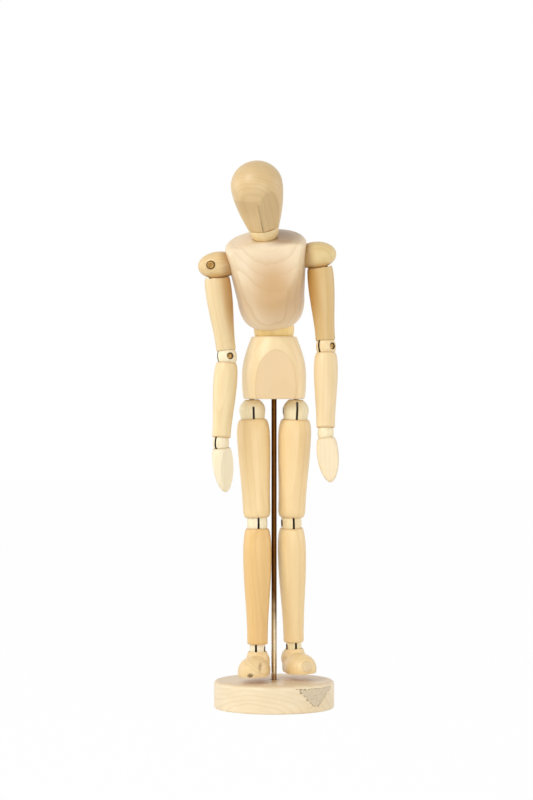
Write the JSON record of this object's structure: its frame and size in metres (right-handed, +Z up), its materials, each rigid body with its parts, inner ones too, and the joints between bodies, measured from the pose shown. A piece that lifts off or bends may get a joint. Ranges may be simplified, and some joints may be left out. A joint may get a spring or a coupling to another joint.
{
  "type": "jointed drawing figure",
  "caption": "Jointed wooden drawing figure on a rod and round base: turned limbs swing on pinned links in slit barrels and hold the pose they are set in.",
  "frame": {"origin": "centre of the base's underside, on the axis of the support rod", "axes": "+Z up along the support rod; the figure faces -Y; its own left is +X"},
  "size_m": [0.0772, 0.0802, 0.3014],
  "materials": {
    "lime_wood": "bare sanded lime wood",
    "base_wood": "bare sanded wood",
    "rod_steel": "darkened steel",
    "pin_steel": "dull steel",
    "link_steel": "dark strip steel",
    "spring_steel": "spring wire"
  },
  "bodies": {
    "stand": {"base_disc": "base_wood", "support_rod": "rod_steel"},
    "pelvis": {"pelvis": "lime_wood", "right_hip_spring": "spring_steel", "left_hip_spring": "spring_steel"},
    "waist_spring": {"waist_spring": "spring_steel"},
    "waist": {"waist": "lime_wood"},
    "chest": {"chest": "lime_wood", "shoulder_spring": "spring_steel"},
    "neck_spring": {"neck_spring": "spring_steel"},
    "neck": {"neck": "lime_wood"},
    "head": {"head": "lime_wood"},
    "right_shoulder": {"right_shoulder": "lime_wood", "right_shoulder_pin": "pin_steel"},
    "right_upper_arm": {"right_upper_arm": "lime_wood", "right_shoulder_link": "link_steel"},
    "right_elbow": {"right_elbow": "lime_wood", "right_elbow_pin": "pin_steel"},
    "right_forearm": {"right_forearm": "lime_wood", "right_elbow_link": "link_steel"},
    "right_wrist": {"right_wrist": "lime_wood", "right_wrist_pin": "pin_steel"},
    "right_hand": {"right_hand": "lime_wood", "right_wrist_link": "link_steel"},
    "right_hip": {"right_hip": "lime_wood", "right_hip_pin": "pin_steel"},
    "right_thigh": {"right_thigh": "lime_wood", "right_hip_link": "link_steel", "right_knee": "lime_wood", "right_knee_pin": "pin_steel"},
    "right_shin": {"right_shin": "lime_wood", "right_knee_link": "link_steel"},
    "right_ankle": {"right_ankle": "lime_wood", "right_ankle_pin": "pin_steel"},
    "right_foot": {"right_foot": "lime_wood", "right_ankle_link": "link_steel"},
    "left_shoulder": {"left_shoulder": "lime_wood", "left_shoulder_pin": "pin_steel"},
    "left_upper_arm": {"left_upper_arm": "lime_wood", "left_shoulder_link": "link_steel"},
    "left_elbow": {"left_elbow": "lime_wood", "left_elbow_pin": "pin_steel"},
    "left_forearm": {"left_forearm": "lime_wood", "left_elbow_link": "link_steel"},
    "left_wrist": {"left_wrist": "lime_wood", "left_wrist_pin": "pin_steel"},
    "left_hand": {"left_hand": "lime_wood", "left_wrist_link": "link_steel"},
    "left_hip": {"left_hip": "lime_wood", "left_hip_pin": "pin_steel"},
    "left_thigh": {"left_thigh": "lime_wood", "left_hip_link": "link_steel", "left_knee": "lime_wood", "left_knee_pin": "pin_steel"},
    "left_shin": {"left_shin": "lime_wood", "left_knee_link": "link_steel"},
    "left_ankle": {"left_ankle": "lime_wood", "left_ankle_pin": "pin_steel"},
    "left_foot": {"left_foot": "lime_wood", "left_ankle_link": "link_steel"}
  },
  "joints": [
    {"name": "figure_turn", "type": "hinge", "parent": "stand", "child": "pelvis", "pos_m": [0, 0, 0.1717], "axis": [0, 0, 1], "continuous": true},
    {"name": "waist_turn", "type": "hinge", "parent": "pelvis", "child": "waist_spring", "pos_m": [0, 0, 0.2104], "axis": [0, 0, 1], "range_deg": [-40, 40]},
    {"name": "waist_tilt", "type": "hinge", "parent": "waist_spring", "child": "waist", "pos_m": [0, 0, 0.2104], "axis": [0, 1, 0], "range_deg": [-11, 11]},
    {"name": "waist_bend", "type": "hinge", "parent": "waist", "child": "chest", "pos_m": [0, 0, 0.2104], "axis": [-0.9949, 0, -0.1011], "range_deg": [-10, 40], "deforming": ["waist_spring"]},
    {"name": "neck_tilt", "type": "hinge", "parent": "chest", "child": "neck_spring", "pos_m": [-0.00551, -0.02203, 0.26464], "axis": [-0.0379, 0.9272, 0.3727], "range_deg": [-15, 15]},
    {"name": "head_nod", "type": "hinge", "parent": "neck_spring", "child": "neck", "pos_m": [-0.00551, -0.02203, 0.26464], "axis": [0.987, -0.0235, 0.1588], "range_deg": [-25, 15], "deforming": ["neck_spring"]},
    {"name": "head_turn", "type": "hinge", "parent": "neck", "child": "head", "pos_m": [-0.00551, -0.02203, 0.26464], "axis": [-0.1542, -0.414, 0.8971], "range_deg": [-60, 60]},
    {"name": "right_shoulder_swing", "type": "hinge", "parent": "chest", "child": "right_shoulder", "pos_m": [-0.03478, -0.01536, 0.24508], "axis": [-0.9949, 0, -0.1011], "range_deg": [-45, 104]},
    {"name": "right_shoulder_raise", "type": "hinge", "parent": "right_shoulder", "child": "right_upper_arm", "pos_m": [-0.03478, -0.01536, 0.24508], "axis": [0.0035, 0.9994, -0.0347], "range_deg": [0, 85]},
    {"name": "right_elbow_turn", "type": "hinge", "parent": "right_upper_arm", "child": "right_elbow", "pos_m": [-0.02595, -0.01713, 0.19503], "axis": [0.127, -0.0349, -0.9913], "range_deg": [-60, 60]},
    {"name": "right_elbow_bend", "type": "hinge", "parent": "right_elbow", "child": "right_forearm", "pos_m": [-0.02595, -0.01713, 0.19503], "axis": [-0.3522, 0.9327, -0.0779], "range_deg": [-12, 48]},
    {"name": "right_wrist_turn", "type": "hinge", "parent": "right_forearm", "child": "right_wrist", "pos_m": [-0.02922, -0.02232, 0.14772], "axis": [-0.0686, -0.1088, -0.9917], "range_deg": [-60, 60]},
    {"name": "right_wrist_bend", "type": "hinge", "parent": "right_wrist", "child": "right_hand", "pos_m": [-0.02922, -0.02232, 0.14772], "axis": [-0.7376, 0.6749, -0.023], "range_deg": [-30, 30]},
    {"name": "right_hip_turn", "type": "hinge", "parent": "pelvis", "child": "right_hip", "pos_m": [-0.01207, -0.00084, 0.165], "axis": [0.04, 0.0028, -0.9992], "range_deg": [-3, 25]},
    {"name": "right_hip_swing", "type": "hinge", "parent": "right_hip", "child": "right_thigh", "pos_m": [-0.01207, -0.00084, 0.165], "axis": [-0.9937, -0.1045, -0.0401], "range_deg": [-35, 68]},
    {"name": "right_knee_bend", "type": "hinge", "parent": "right_thigh", "child": "right_shin", "pos_m": [-0.00935, -0.00283, 0.10279], "axis": [0.9904, 0.1379, 0.0022], "range_deg": [-2, 42]},
    {"name": "right_ankle_turn", "type": "hinge", "parent": "right_shin", "child": "right_ankle", "pos_m": [-0.00918, -0.00291, 0.03279], "axis": [0.0024, -0.0012, -1], "range_deg": [-3, 15]},
    {"name": "right_ankle_bend", "type": "hinge", "parent": "right_ankle", "child": "right_foot", "pos_m": [-0.00918, -0.00291, 0.03279], "axis": [-0.9814, 0.1921, -0.0026], "range_deg": [-5, 9]},
    {"name": "left_shoulder_swing", "type": "hinge", "parent": "chest", "child": "left_shoulder", "pos_m": [0.0271, -0.01536, 0.25136], "axis": [-0.9949, 0, -0.1011], "range_deg": [-45, 104]},
    {"name": "left_shoulder_raise", "type": "hinge", "parent": "left_shoulder", "child": "left_upper_arm", "pos_m": [0.0271, -0.01536, 0.25136], "axis": [-0.0035, -0.9994, 0.0347], "range_deg": [0, 85]},
    {"name": "left_elbow_turn", "type": "hinge", "parent": "left_upper_arm", "child": "left_elbow", "pos_m": [0.02851, -0.01713, 0.20056], "axis": [-0.0749, 0.0349, 0.9966], "range_deg": [-60, 60]},
    {"name": "left_elbow_bend", "type": "hinge", "parent": "left_elbow", "child": "left_forearm", "pos_m": [0.02851, -0.01713, 0.20056], "axis": [-0.6775, 0.7315, -0.0765], "range_deg": [-18, 48]},
    {"name": "left_wrist_turn", "type": "hinge", "parent": "left_forearm", "child": "left_wrist", "pos_m": [0.02823, -0.02235, 0.15314], "axis": [0.0058, 0.1094, 0.994], "range_deg": [-60, 60]},
    {"name": "left_wrist_bend", "type": "hinge", "parent": "left_wrist", "child": "left_hand", "pos_m": [0.02823, -0.02235, 0.15314], "axis": [0.0061, 0.994, -0.1094], "range_deg": [-30, 30]},
    {"name": "left_hip_turn", "type": "hinge", "parent": "pelvis", "child": "left_hip", "pos_m": [0.01207, 0.00084, 0.165], "axis": [0.0348, 0.0024, 0.9994], "range_deg": [-3, 25]},
    {"name": "left_hip_swing", "type": "hinge", "parent": "left_hip", "child": "left_thigh", "pos_m": [0.01207, 0.00084, 0.165], "axis": [-0.9939, -0.1045, 0.0349], "range_deg": [-35, 68]},
    {"name": "left_knee_bend", "type": "hinge", "parent": "left_thigh", "child": "left_shin", "pos_m": [0.00962, 0.0034, 0.1028], "axis": [0.9702, 0.2386, 0.0425], "range_deg": [-2, 42]},
    {"name": "left_ankle_turn", "type": "hinge", "parent": "left_shin", "child": "left_ankle", "pos_m": [0.01111, 0.00974, 0.0331], "axis": [-0.0213, -0.0906, 0.9957], "range_deg": [-3, 15]},
    {"name": "left_ankle_bend", "type": "hinge", "parent": "left_ankle", "child": "left_foot", "pos_m": [0.01111, 0.00974, 0.0331], "axis": [-0.9612, -0.2722, -0.0453], "range_deg": [-5, 9]}
  ]
}
